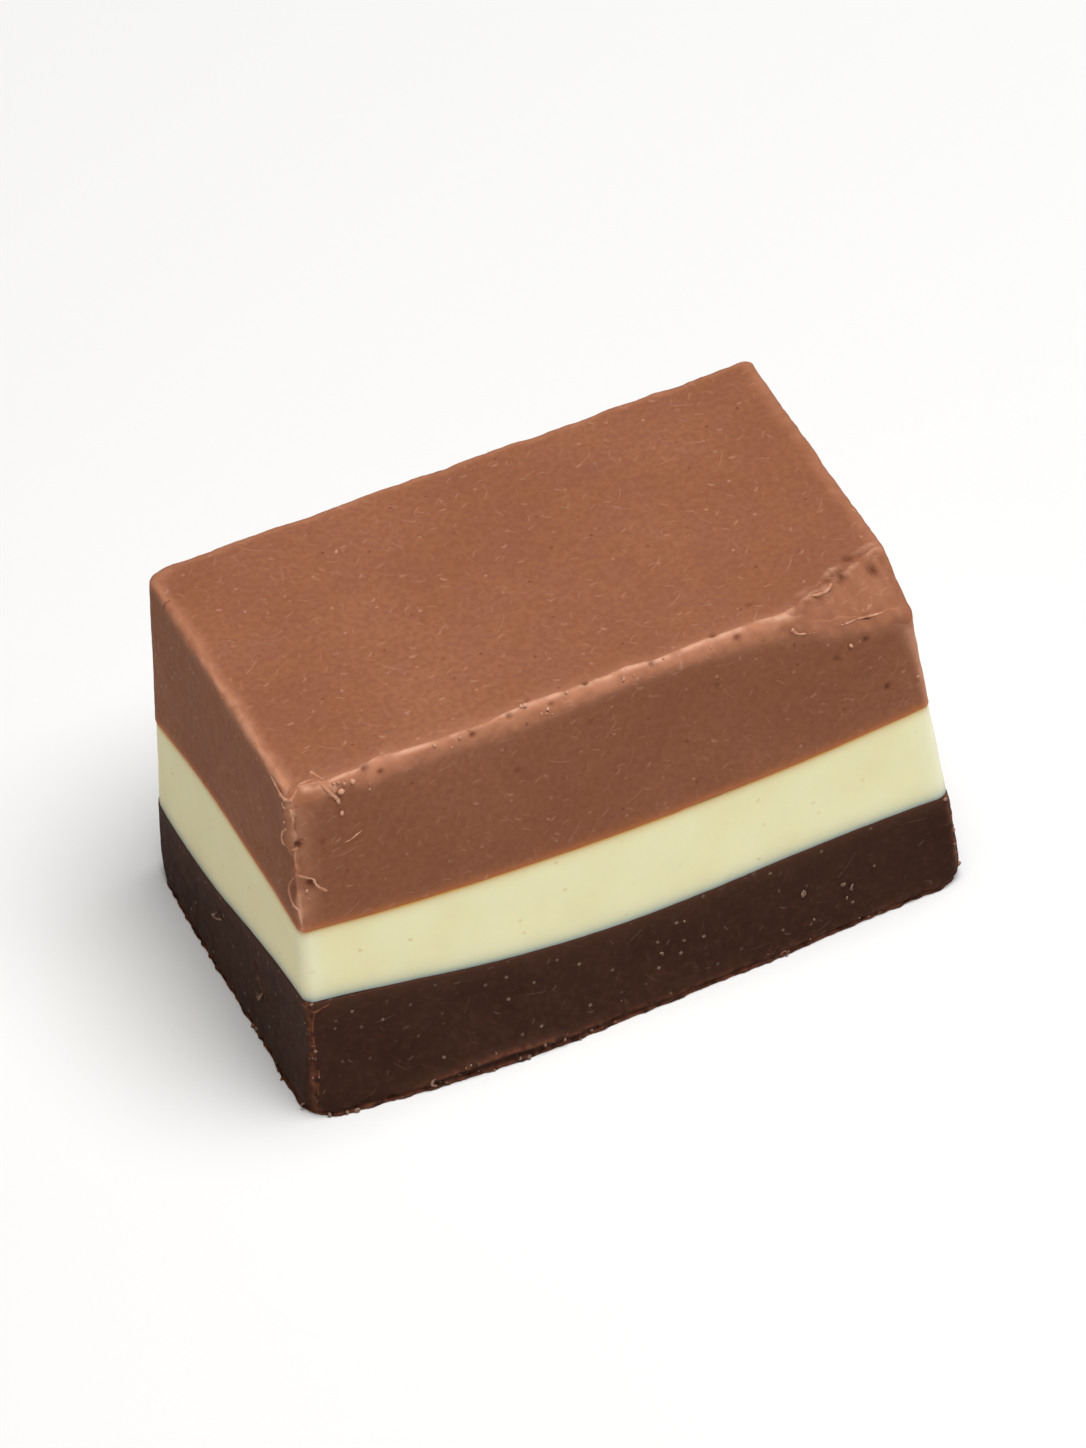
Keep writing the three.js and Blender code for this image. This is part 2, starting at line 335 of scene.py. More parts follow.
def apply_tree(piece, tree, **values):
    """Runs a Geometry Nodes tree on a piece with these named inputs and keeps the plain mesh it makes."""
    modifier = piece.modifiers.new(tree.name, "NODES")
    modifier.node_group = tree
    sockets = {item.name: item.identifier for item in tree.interface.items_tree
               if item.in_out == "INPUT"}
    for name, value in values.items():
        modifier[sockets[name.replace("_", " ").title()]] = value
    bpy.context.view_layer.update()
    depsgraph = bpy.context.evaluated_depsgraph_get()
    mesh = bpy.data.meshes.new_from_object(piece.evaluated_get(depsgraph),
                                           preserve_all_data_layers=True, depsgraph=depsgraph)
    piece.modifiers.remove(modifier)
    piece.data = mesh


def new_material(name):
    """A material with a Principled shader, its tree and the object's coordinates in millimetres."""
    material = bpy.data.materials.new(name)
    material.use_nodes = True
    tree = material.node_tree
    place = add(tree, "ShaderNodeTexCoord", out="Object")
    in_mm = add(tree, "ShaderNodeVectorMath", {0: place, "Scale": 1 / MM}, operation="SCALE")
    return material, tree, tree.nodes["Principled BSDF"], in_mm


def strokes(tree, in_mm, cell, length, width, share, bend=0.0, shift=0.0):
    """A mask of separate strokes that lie in the surface in random directions, some fainter than
    others: one in each cell of a random pattern, in that share of the cells. Cell is the size of a
    cell in millimetres, and length and width are half lengths."""
    moved = add(tree, "ShaderNodeVectorMath", {0: in_mm, 1: (shift, shift, shift)})
    cells = add(tree, "ShaderNodeVectorMath", {0: moved, "Scale": 1 / cell}, operation="SCALE")
    middle = add(tree, "ShaderNodeTexVoronoi", {"Vector": cells, "Scale": 1.0}, out="Position")
    random = middle.node.outputs["Color"]
    away = add(tree, "ShaderNodeVectorMath", {0: cells, 1: middle}, operation="SUBTRACT")
    away = add(tree, "ShaderNodeVectorMath", {0: away, "Scale": cell}, operation="SCALE")
    normal = add(tree, "ShaderNodeNewGeometry", out="Normal")
    heading = add(tree, "ShaderNodeVectorMath", {0: random, 1: (0.5, 0.5, 0.5)}, operation="SUBTRACT")
    across = add(tree, "ShaderNodeVectorMath", {0: normal, 1: heading}, operation="CROSS_PRODUCT")
    across = add(tree, "ShaderNodeVectorMath", {0: across}, operation="NORMALIZE")
    along = add(tree, "ShaderNodeVectorMath", {0: across, 1: normal}, operation="CROSS_PRODUCT")
    run = add(tree, "ShaderNodeVectorMath", {0: away, 1: along}, out="Value", operation="DOT_PRODUCT")
    off = add(tree, "ShaderNodeVectorMath", {0: away, 1: across}, out="Value", operation="DOT_PRODUCT")
    square = add(tree, "ShaderNodeMath", {0: run, 1: run}, operation="MULTIPLY")
    bowed = add(tree, "ShaderNodeMath", {0: square, 1: bend, 2: off}, operation="MULTIPLY_ADD")
    chance = add(tree, "ShaderNodeSeparateColor", {"Color": random})
    mask = add(tree, "ShaderNodeMapRange", {"Value": chance, "From Min": 0.0, "From Max": share,
                                            "To Min": 1.0, "To Max": 0.0})
    for distance, reach in ((run, length), (bowed, width)):
        size = add(tree, "ShaderNodeMath", {0: distance}, operation="ABSOLUTE")
        fade = add(tree, "ShaderNodeMapRange",
                   {"Value": size, "From Min": reach * 0.3, "From Max": reach, "To Min": 1.0,
                    "To Max": 0.0}, interpolation_type="SMOOTHSTEP")
        mask = add(tree, "ShaderNodeMath", {0: mask, 1: fade}, operation="MULTIPLY")
    return mask


def mottle(tree, in_mm, size, low, high, to_low=0.0, to_high=1.0):
    """Noise of that grain size in millimetres, stretched so that low to high becomes to_low to to_high."""
    noise = add(tree, "ShaderNodeTexNoise", {"Vector": in_mm, "Scale": 1 / size, "Detail": 3.0})
    return add(tree, "ShaderNodeMapRange", {"Value": noise, "From Min": low, "From Max": high,
                                            "To Min": to_low, "To Max": to_high})


def near_border(tree, name, reach):
    """1 at a border to another layer, dying away over a few times this distance in millimetres."""
    distance = add(tree, "ShaderNodeAttribute", out="Fac", attribute_name=name)
    away = add(tree, "ShaderNodeMath", {0: distance, 1: -1 / reach}, operation="MULTIPLY")
    return add(tree, "ShaderNodeMath", {0: away}, operation="EXPONENT")


def tint(tree, colour, over, amount, strength=1.0):
    """A colour with another one laid over it."""
    amount = add(tree, "ShaderNodeMath", {0: amount, 1: strength}, operation="MULTIPLY")
    return add(tree, "ShaderNodeMix", {0: amount, 6: colour, 7: over}, out=2, data_type="RGBA")


# Dark nougat, cut with a knife: fat and cocoa make it satin, it keeps fine scratches and specks, and
# its rubbed edges are rust-brown. The same colour paints a highlight along the bottom rim and the lip
# above the foot.
DARK, DARK_DEEP, DARK_HAZE = "402920", "37231b", "55382c"
DARK_RUBBED_AND_LIT, DARK_CRUMB, DARK_MARK = "88533f", "ab8b7a", "a08a7a"
COCOA_BUTTER_IOR = 1.46


def dark_nougat_material(name, crumb=False):
    """The nougat itself, or a crumb of it, whose torn faces are paler."""
    material, tree, shader, in_mm = new_material(name)
    colour = tint(tree, linear(DARK_DEEP), linear(DARK), mottle(tree, in_mm, 2.0, 0.3, 0.7))
    colour = tint(tree, colour, linear(DARK_HAZE), mottle(tree, in_mm, 0.3, 0.45, 0.75), 0.35)
    if crumb:
        colour = tint(tree, colour, linear(DARK_CRUMB), mottle(tree, in_mm, 0.3, 0.3, 0.6), 0.85)
    else:
        colour = tint(tree, colour, linear(DARK_HAZE), near_border(tree, "to_white", 0.45), 0.85)
    # Rust-brown on rubbed edges, and a painted highlight on the bottom rim and the lip.
    rubbed = add(tree, "ShaderNodeAttribute", out="Fac", attribute_name="rubbed")
    rubbed = add(tree, "ShaderNodeMath", {0: rubbed, 1: mottle(tree, in_mm, 0.35, 0.35, 0.6)},
                 operation="MULTIPLY")
    colour = tint(tree, colour, linear(DARK_RUBBED_AND_LIT), rubbed, 0.8)
    scratches = strokes(tree, in_mm, 1.6, 0.6, 0.035, 0.5, bend=0.1)
    nicks = strokes(tree, in_mm, 1.3, 0.2, 0.05, 0.5, bend=0.8, shift=4.0)
    specks = strokes(tree, in_mm, 1.1, 0.1, 0.09, 0.5, shift=7.0)
    for mask, strength in ((scratches, 0.13), (nicks, 0.2), (specks, 0.55)):
        colour = tint(tree, colour, linear(DARK_MARK), mask, strength)
    height = add(tree, "ShaderNodeMath", {0: mottle(tree, in_mm, 0.12, 0.2, 0.8), 1: scratches})
    bump = add(tree, "ShaderNodeBump", {"Strength": 0.6, "Distance": 0.012 * MM, "Height": height})
    connect(tree, shader, {
        "Base Color": colour, "Roughness": mottle(tree, in_mm, 0.5, 0.3, 0.7, 0.5, 0.62),
        "IOR": COCOA_BUTTER_IOR, "Specular IOR Level": 0.025, "Normal": bump})
    return material


# The mark of a place that no border tints: as if the border were this far away, in millimetres.
FAR = 9.0


def make_dark_layer():
    far = {"to_white": FAR}
    rim = wall(0.0, inset=FOOT_UNDERCUT + RIM_ROUND)
    rows = [(rim * (share, share, 1), far) for share in (0, 0.4, 0.75, 0.93, 0.98)]
    top = border_ring(white_border)[:, 2]
    near_foot = [0, 0.02, 0.07, 0.14, 0.21, 0.28, 0.35, 0.42, 0.5, 0.58, 0.66, 0.75, 0.85, 1.0, 1.2, 1.45]
    foot_top = near_foot[-1]
    heights = near_foot + [foot_top + (top - foot_top) * share
                           for share in np.linspace(0, 1, 20)[1:]]
    for z in heights:
        z = np.broadcast_to(z, facing.shape)
        rim_round = RIM_ROUND * np.maximum(0, 1 - z / RIM_ROUND_HEIGHT) ** 2
        undercut = FOOT_UNDERCUT * np.clip((z - 0.05) / 0.1, 0, 1) * np.exp(-((z / 0.35) ** 2))
        ring = wall(z, rim_round + undercut)
        shown = np.clip(z / 0.1, 0, 1)
        edge = upright_edge(z, 0.11)
        above_lip = z - np.interp(ring[:, 0], LIP_ALONG, LIP_HEIGHTS)
        lip = bell(above_lip, 0.07) * np.interp(ring[:, 0], LIP_ALONG, LIP_OUTS) / max(LIP_OUTS)
        lip = lip * np.clip(-facing_y, 0, 1)
        rows.append((ring, {
            "shown": shown,
            "to_white": top - z,
            "worn": shown * (0.9 * np.exp(-((z / 0.3) ** 2)) + 0.2 * np.exp(-z / 0.8)
                             + 0.5 * upright_edge(z, 0.2)),
            # Rust-brown rubbing along the upright edges, and a painted highlight along the bottom rim and
            # the lip.
            "rubbed": np.maximum.reduce([bell(z, 0.12), 0.7 * edge, 0.7 * lip]),
            "crumbly": shown * (np.exp(-z / 0.15) + 0.5 * edge + 0.4 * lip + 0.01),
        }))
    rows += [(ring, far) for ring in border_cover(white_border, COVER_SHARES[::-1])]
    return loft("dark_nougat", rows)


nougat_surface = surface_tree()
dark_nougat = make_dark_layer()
apply_tree(dark_nougat, nougat_surface, wave_depth=0.03 * MM, wave_size=5 * MM, grain_depth=0.006 * MM,
           grain_size=0.5 * MM, tooth_depth=0.11 * MM, tooth_size=0.6 * MM,
           finish=dark_nougat_material("dark_nougat"))
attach(dark_nougat, "root")
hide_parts("dark_nougat_layer")

# ----------------------------------------
# The white layer, of cocoa butter, sugar and nuts ground fine. It is the smoothest of the three, poured
# on the dark one before that had set, and the milk-brown one has stained it where they meet.
# ----------------------------------------
# White nougat, cut with a knife: smooth and slightly translucent. It is whiter along its upright edges,
# a painted highlight, and greyer towards the dark nougat under it, a painted shade where the dark layer
# swallows light that runs through the white.
IVORY, IVORY_DEEP, IVORY_PAINTED_HIGHLIGHT = "fef7ca", "faf1c1", "fffde2"
IVORY_DOT, IVORY_STAIN, IVORY_PAINTED_SHADE = "d9b878", "ce9641", "8fa29d"
WHITE_EXTRA_RADIUS = 0.15


def milk_border(x, y):
    """Height of the border between the white and the milk-brown layer."""
    return 9.15 + 0.85 * (x / (BASE_LENGTH / 2)) ** 2 - 0.0078 * (y + 4) ** 2


def white_nougat_material():
    material, tree, shader, in_mm = new_material("white_nougat")
    colour = tint(tree, linear(IVORY_DEEP), linear(IVORY), mottle(tree, in_mm, 2.5, 0.25, 0.6))
    dots = strokes(tree, in_mm, 2.2, 0.14, 0.11, 0.6, shift=3.0)
    colour = tint(tree, colour, linear(IVORY_DOT), dots, 0.4)
    # Painted highlight along the upright edges.
    rubbed = add(tree, "ShaderNodeAttribute", out="Fac", attribute_name="rubbed")
    colour = tint(tree, colour, linear(IVORY_PAINTED_HIGHLIGHT), rubbed, 0.5)
    colour = tint(tree, colour, linear(IVORY_STAIN), near_border(tree, "to_milk", 0.17))
    # Painted shade towards the dark layer.
    colour = tint(tree, colour, linear(IVORY_PAINTED_SHADE), near_border(tree, "to_dark", 0.29))
    bump = add(tree, "ShaderNodeBump", {"Strength": 0.4, "Distance": 0.008 * MM,
                                        "Height": mottle(tree, in_mm, 0.4, 0.2, 0.8)})
    connect(tree, shader, {
        "Base Color": colour, "Roughness": 0.45, "IOR": COCOA_BUTTER_IOR,
        "Specular IOR Level": 0.06, "Subsurface Weight": 0.3,
        "Subsurface Radius": (1.0, 0.75, 0.4), "Subsurface Scale": 0.9 * MM, "Normal": bump})
    return material


def make_white_layer():
    far = {"to_dark": FAR, "to_milk": FAR}
    rows = [(ring, far) for ring in border_cover(white_border, COVER_SHARES)]
    low, high = border_ring(white_border)[:, 2], border_ring(milk_border)[:, 2]
    for share in np.linspace(0, 1, 34):
        share = share * share * (3 - 2 * share)
        z = low + (high - low) * share
        rows.append((wall(z, extra_radius=WHITE_EXTRA_RADIUS), {
            "shown": 1.0,
            "to_dark": z - low,
            "to_milk": high - z,
            # Painted highlight along the upright edges.
            "rubbed": upright_edge(z, 0.4),
        }))
    rows += [(ring, far) for ring in border_cover(milk_border, COVER_SHARES[::-1])]
    return loft("white_nougat", rows)


white_nougat = make_white_layer()
apply_tree(white_nougat, nougat_surface, wave_depth=0.03 * MM, wave_size=5 * MM,
           grain_depth=0.003 * MM, grain_size=0.6 * MM, tooth_depth=0.0, tooth_size=1 * MM,
           finish=white_nougat_material())
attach(white_nougat, "root")
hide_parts("white_nougat_layer")

# ----------------------------------------
# The milk-brown layer, poured last. Its top is flat with short fine scratches, and its edges are rubbed
# lighter, with painted light and painted highlights over the rubbing on edges, band and facet.
# The front edge of the top is worn to a narrow band that widens into a facet at the right, and the corner
# at its left end is knocked about, with a small fold of nougat lower down on the edge.
# ----------------------------------------
TOP_DISH = 0.12
TOP_EDGE = 0.26
# The worn band along the front of the top: its width on the top and its depth down the wall.
BAND_ALONG = [-13.0, -11.0, -10.2, -9.4, -7.8, -5.3, -4.2, -3.1, -1.3,
              0.6, 1.6, 2.8, 5.1, 6.4, 7.8, 9.0, 13.7]
BAND_WIDTHS = [0.2, 0.25, 0.55, 0.36, 0.24, 0.2, 0.36, 0.5, 0.4,
               0.4, 0.5, 0.3, 0.42, 0.4, 0.45, 0.3, 0.25]
BAND_DEPTHS = [0.2, 0.35, 0.65, 0.5, 0.5, 0.52, 0.58, 0.55, 0.48,
               0.4, 0.36, 0.38, 0.47, 0.6, 0.55, 0.35, 0.25]
BAND_DEPTH_SCALE = 1.25
BAND_TURN = math.radians(62)
# How much the corner arcs grow with each millimetre that an edge turns in over the top.
TOP_CORNER_GROWTH = 1.6
BURR = 0.05
CORNER_CHIPS = [
    {"start": (8.0, -7.6), "end": (13.5, -5.6), "falls": (1.6, 0.78), "step": 0.14, "torn": 1.0},
    {"start": (-13.9, -7.0), "end": (-11.3, -7.95), "falls": (0.9, 0.9), "step": 0.0, "torn": 0.0},
]
CHIP_SOFTNESS = 0.14
# The facet's torn edge: a lip along it, a second one this far up the top, and a cleft between them.
LIP_REACH, SECOND_LIP_AWAY, SECOND_LIP_REACH = 0.08, 0.32, 0.09
CLEFT_DEPTH, CLEFT_AWAY, CLEFT_REACH = 0.16, 0.15, 0.06
# The front left edge leans back a little where it has been rubbed, from here and over this width.
LEANING_START, LEANING_WIDTH, LEANING_DEPTH = -13.9, 1.4, 0.45
# Where the front right edge is rubbed, seen from above.
RUBBED_RIGHT_X, RUBBED_RIGHT_Y = 13.65, -7.75
# x, y, z, reach and height of smeared lumps and hollows, and of pits, in millimetres.
MILK_LUMPS = [
    (-13.85, -7.5, 15.3, 0.4, 0.10), (-13.85, -7.4, 14.6, 0.28, 0.18), (-13.85, -7.5, 14.15, 0.2, 0.16),
    (-13.1, -7.7, 15.5, 0.7, 0.10), (-13.9, -7.75, 13.4, 0.3, -0.10), (-13.9, -7.8, 11.8, 0.35, -0.14),
    (-13.95, -7.9, 10.7, 0.4, 0.05), (-13.4, -6.9, 16.6, 0.35, -0.16), (-12.95, -7.35, 16.7, 0.25, 0.08),
    (-12.45, -7.3, 16.75, 0.22, 0.07), (13.6, -7.85, 15.0, 0.2, 0.08), (13.6, -7.85, 14.4, 0.2, 0.06),
]
MILK_PITS = [
    (-3.88, -7.53, 16.74, 0.08, -0.10), (-5.61, -7.77, 16.60, 0.08, -0.10),
    (-9.70, -7.80, 16.47, 0.08, -0.10), (-10.26, -7.59, 16.77, 0.09, -0.10),
    (-0.42, -7.32, 16.76, 0.08, -0.12), (-2.07, -7.61, 16.62, 0.07, -0.07),
    (-2.90, -7.02, 16.78, 0.07, -0.07), (5.28, -7.21, 16.79, 0.09, -0.09),
    (6.20, -7.71, 16.69, 0.09, -0.10), (2.41, -7.50, 16.77, 0.08, -0.10),
    (12.04, -5.60, 16.78, 0.11, -0.20), (11.36, -6.44, 16.67, 0.13, -0.24),
    (12.93, -6.43, 16.38, 0.13, -0.22), (11.64, -7.93, 14.34, 0.09, -0.09),
    (10.29, -7.95, 13.88, 0.09, -0.07), (12.32, -8.08, 11.51, 0.09, -0.10),
    (-13.60, -7.85, 14.2, 0.11, -0.16), (5.01, -7.90, 14.75, 0.08, -0.07),
    (-12.60, -7.95, 14.0, 0.09, -0.05), (-3.99, -7.99, 14.07, 0.08, -0.06),
    (-0.54, -7.89, 15.17, 0.07, -0.05), (7.37, -6.19, 16.79, 0.08, -0.06),
    (-13.35, -7.95, 12.1, 0.14, -0.12),
]
# Milk-brown nougat, cut with a knife and handled: satin, finely mottled, marked by many short light
# strokes, specks and a few pores, and paler and pinker where it has been rubbed. Over that lie painted
# light in slow pale patches and on the edges, painted highlights along burrs, crests and threads, and
# painted shade in the pores, pits and cleft.
MILK, MILK_DEEP, MILK_WARM, MILK_STAIN = "8f5c45", "7f4e39", "99623b", "d07e4c"
MILK_RUBBED_AND_LIT, MILK_BURR_AND_HIGHLIGHT, MILK_MARK, MILK_PAINTED_SHADE = "bd8264", "dcaa8e", "cb9b82", "5e2d1a"


def milk_nougat_material(name, crumb=False):
    """The nougat itself, or a crumb of it, whose torn faces are paler."""
    material, tree, shader, in_mm = new_material(name)
    colour = tint(tree, linear(MILK), linear(MILK_WARM), mottle(tree, in_mm, 1.6, 0.35, 0.65), 0.3)
    # Painted light: slow paler, pinker patches that stand in for uneven light across the layer.
    colour = tint(tree, colour, linear(MILK_RUBBED_AND_LIT), mottle(tree, in_mm, 9.0, 0.4, 0.65), 0.2)
    colour = tint(tree, colour, linear(MILK_DEEP), mottle(tree, in_mm, 0.28, 0.38, 0.62), 0.4)
    if crumb:
        colour = tint(tree, colour, linear(MILK_BURR_AND_HIGHLIGHT), mottle(tree, in_mm, 0.3, 0.2, 0.6), 0.8)
    else:
        colour = tint(tree, colour, linear(MILK_STAIN), near_border(tree, "to_white", 0.17))
    # Paler where rubbed and where painted light lies; paler still along burrs, with painted highlight.
    for mark, over, patches in (("rubbed", MILK_RUBBED_AND_LIT, mottle(tree, in_mm, 0.6, 0.35, 0.6, 0.6, 1.0)),
                                ("burr", MILK_BURR_AND_HIGHLIGHT, mottle(tree, in_mm, 0.9, 0.38, 0.6, 0.0, 0.8))):
        marked = add(tree, "ShaderNodeAttribute", out="Fac", attribute_name=mark)
        marked = add(tree, "ShaderNodeMath", {0: marked, 1: patches}, operation="MULTIPLY")
        colour = tint(tree, colour, linear(over), marked)
    arcs = strokes(tree, in_mm, 2.4, 0.7, 0.06, 0.7, bend=0.3)
    scratches = strokes(tree, in_mm, 0.9, 0.28, 0.06, 0.8, bend=-0.8, shift=5.0)
    nicks = strokes(tree, in_mm, 1.5, 0.2, 0.08, 0.5, bend=1.5, shift=9.0)
    specks = strokes(tree, in_mm, 1.6, 0.1, 0.09, 0.4, shift=11.0)
    pores = strokes(tree, in_mm, 1.7, 0.1, 0.085, 0.4, shift=17.0)
    # The pores' dark is painted shade in their dents.
    for mask, over, strength in ((arcs, MILK_MARK, 0.2), (scratches, MILK_MARK, 0.22),
                                 (nicks, MILK_MARK, 0.36), (specks, MILK_MARK, 0.45),
                                 (pores, MILK_PAINTED_SHADE, 0.5)):
        colour = tint(tree, colour, linear(over), mask, strength)
    # Painted shade in the pits and in the cleft between the facet's lips.
    for mark, strength in (("pit", 0.85), ("cleft", 0.6)):
        sunk = add(tree, "ShaderNodeAttribute", out="Fac", attribute_name=mark)
        colour = tint(tree, colour, linear(MILK_PAINTED_SHADE), sunk, strength)
    height = add(tree, "ShaderNodeMath", {0: mottle(tree, in_mm, 0.28, 0.2, 0.8), 1: arcs})
    height = add(tree, "ShaderNodeMath", {0: height, 1: scratches})
    height = add(tree, "ShaderNodeMath", {0: pores, 1: -4.0, 2: height}, operation="MULTIPLY_ADD")
    bump = add(tree, "ShaderNodeBump", {"Strength": 0.6, "Distance": 0.009 * MM, "Height": height})
    connect(tree, shader, {
        "Base Color": colour, "Roughness": mottle(tree, in_mm, 0.6, 0.3, 0.7, 0.5, 0.62),
        "IOR": COCOA_BUTTER_IOR, "Specular IOR Level": 0.03, "Subsurface Weight": 0.1,
        "Subsurface Radius": (1.0, 0.45, 0.25), "Subsurface Scale": 0.5 * MM, "Normal": bump})
    return material


def chip_distance(chip, x, y):
    """How far a place lies beyond a chip's edge, and how far along that edge, from 0 to 1."""
    run = np.subtract(chip["end"], chip["start"])
    length = np.hypot(*run)
    along = (run[0] * (x - chip["start"][0]) + run[1] * (y - chip["start"][1])) / length
    beyond = (run[1] * (x - chip["start"][0]) - run[0] * (y - chip["start"][1])) / length
    beyond = beyond + 0.07 * np.sin(3.7 * along + 1) + 0.04 * np.sin(9.3 * along)
    return beyond, along / length


def top_surface(x, y):
    """Height of the top, slightly sunk in the middle and cut away by the chips, and how much each place
    belongs to a cut, to the raised lips along it and to the cleft between them, from 0 to 1."""
    sunk = TOP_DISH * np.maximum(0, 1 - 4 * ((x / TOP_LENGTH) ** 2 + (y / TOP_WIDTH) ** 2))
    cut, crest, cleft = np.zeros(x.shape), np.zeros(x.shape), np.zeros(x.shape)
    for chip in CORNER_CHIPS:
        beyond, along = chip_distance(chip, x, y)
        fall = np.interp(along, [0, 1], chip["falls"])
        depth = fall * (beyond + np.hypot(beyond, CHIP_SOFTNESS)) / 2
        drop = 1 - np.exp(-((np.maximum(beyond, 0) / 0.25) ** 2))
        depth += chip["step"] * drop * np.clip(along * 3, 0, 1)
        sunk = np.maximum(sunk, depth)
        cut = np.maximum(cut, np.clip(beyond / 0.25, 0, 1))
        inside = np.clip((along + 0.05) * 8, 0, 1) * np.clip((1.05 - along) * 8, 0, 1)
        torn = chip["torn"] * inside * np.clip((along - 0.2) * 8, 0, 1)
        torn = torn * (0.6 + 0.4 * np.sin(17 * along + 4.4))
        crest = np.maximum(crest, inside * bell(beyond, LIP_REACH))
        crest = np.maximum(crest, torn * bell(beyond + SECOND_LIP_AWAY, SECOND_LIP_REACH))
        cleft = np.maximum(cleft, torn * bell(beyond + CLEFT_AWAY, CLEFT_REACH))
    return HEIGHT - sunk, cut, crest, cleft


def make_milk_layer():
    rows = [(ring, {"to_white": FAR}) for ring in border_cover(milk_border, COVER_SHARES)]
    low = border_ring(milk_border)[:, 2]
    at_x, at_y, _ = wall(HEIGHT).T
    front = np.clip(-facing_y, 0, 1) ** 2
    left = np.clip(-facing_x, 0, 1) ** 2 * np.clip(0.6 - 0.06 * at_y, 0.25, 1)
    uneven = np.sin(1.1 * (at_x + at_y)) + 0.7 * np.sin(2.9 * (at_x - at_y))
    edge_size = TOP_EDGE * (1 + 0.25 * uneven)
    band_width = np.interp(at_x, BAND_ALONG, BAND_WIDTHS)
    band_depth = BAND_DEPTH_SCALE * np.interp(at_x, BAND_ALONG, BAND_DEPTHS)
    width = edge_size + (band_width - edge_size) * front
    depth = edge_size + (band_depth - edge_size) * front
    turn = math.pi / 2 + (BAND_TURN - math.pi / 2) * front
    leaned = front * np.clip((at_x - LEANING_START) / LEANING_WIDTH - 1, -1, 0) ** 2
    leaning = LEANING_DEPTH * leaned
    edge_rings, edge_shares = [], np.linspace(0, 1, 15)
    for share in edge_shares:
        inset = width * (1 - np.cos(turn * share)) / (1 - np.cos(turn))
        growth = TOP_CORNER_GROWTH * inset
        at_top = wall(HEIGHT, leaning + inset, growth)
        height, cut, crest, _ = top_surface(at_top[:, 0], at_top[:, 1])
        z = height - depth * (1 - np.sin(turn * share) / np.sin(turn))
        edge_rings.append((wall(z, leaning + inset, growth), cut, crest))
    high = edge_rings[0][0][:, 2]
    left_edge = bell(np.hypot(at_x + TOP_LENGTH / 2, at_y + TOP_WIDTH / 2), 0.35)
    for share in np.linspace(0, 1, 52)[:-1]:
        z = low + (high - low) * share
        fade = np.clip((z - low) / 1.2, 0, 1)
        near_top = np.exp(-np.maximum(high - z, 0) / 0.2)
        edge = upright_edge(z, 0.1)
        below = np.exp(-np.maximum(high - z, 0) / 1.2)
        from_right = np.hypot(at_x - RUBBED_RIGHT_X, at_y - RUBBED_RIGHT_Y)
        right_edge = bell(from_right, 0.15 + 0.35 * below)
        rows.append((wall(z, leaning * fade), {
            "shown": 1.0,
            "to_white": z - low,
            "worn": np.maximum(0.15 * near_top, fade * (0.5 * left_edge + 0.5 * edge)),
            # Rubbing with a painted highlight near the top and along the upright edges, and painted light
            # on the leaning front left edge.
            "rubbed": np.maximum.reduce([near_top * (0.35 + 0.1 * front + 0.4 * left), 0.8 * edge,
                                         right_edge, fade * np.sqrt(leaned)]),
            # Pale burrs with a painted highlight along the upright edges.
            "burr": np.maximum.reduce([0.4 * edge, 0.4 * right_edge, fade * 0.3 * left_edge]),
            "crumbly": 0.3 * edge + 0.6 * fade * left_edge + 0.004,
        }))
    for (ring, cut, crest), share in zip(edge_rings, edge_shares):
        rows.append((ring, {
            "shown": 1.0,
            "to_white": FAR,
            "worn": np.maximum(0.25, 0.5 * np.maximum(left_edge, crest)),
            # Rubbing with painted light on the rounded top edge, strongest along the front band and the
            # left edge.
            "rubbed": (0.4 + 0.55 * np.maximum(front, left)) * (1 - 0.5 * front * (1 - share))
                      * (1 - 0.5 * cut),
            # Pale burrs with a painted highlight along the crest of the front band and the facet's lips.
            "burr": front * np.exp(-(((1 - share) / 0.15) ** 2)) * (1 - cut) + 0.8 * crest
                    + 0.5 * left * bell(share - 0.5, 0.3),
            "crumbly": 0.25 + front * 0.3,
        }))
    rim = edge_rings[-1][0]
    in_from_rim = np.cumsum([0.05] * 6 + [0.1] * 18 + [0.3] * 6 + [0.6] * 5)
    for inward in [*in_from_rim, TOP_WIDTH / 2]:
        share = max(0.0, 1 - inward / (TOP_WIDTH / 2 - TOP_EDGE))
        x, y = rim[:, 0] * share, rim[:, 1] * share
        height, cut, crest, cleft = top_surface(x, y)
        burr = front * bell(inward, 0.06) * (1 - cut)
        height += BURR * np.maximum(burr, 1.6 * crest) - CLEFT_DEPTH * cleft
        # Painted light on the top just inside its front edge.
        glow = front * 0.75 * math.exp(-inward / 0.3) * (1 - cut)
        rows.append((np.column_stack([x, y, height]), {
            "shown": 1.0,
            "to_white": FAR,
            "worn": np.maximum.reduce([0.4 * burr, 0.1 * cut, 0.7 * crest]),
            "rubbed": np.maximum.reduce([glow, (0.4 + 0.3 * left) * bell(inward, 0.12) * (1 - cut),
                                         0.4 * cut]),
            "burr": np.maximum(burr, 0.7 * crest),
            "cleft": cleft,
            "crumbly": burr + 0.5 * crest + 0.004,
        }))
    return loft("milk_nougat", rows)


milk_nougat = make_milk_layer()
press(milk_nougat, MILK_LUMPS)
# The pit mark made here is painted shade in these dents.
press(milk_nougat, MILK_PITS, mark="pit")
apply_tree(milk_nougat, nougat_surface, wave_depth=0.03 * MM, wave_size=5 * MM, grain_depth=0.006 * MM,
           grain_size=0.7 * MM, tooth_depth=0.09 * MM, tooth_size=0.55 * MM,
           finish=milk_nougat_material("milk_nougat"))
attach(milk_nougat, "root")
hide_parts("milk_nougat_layer")

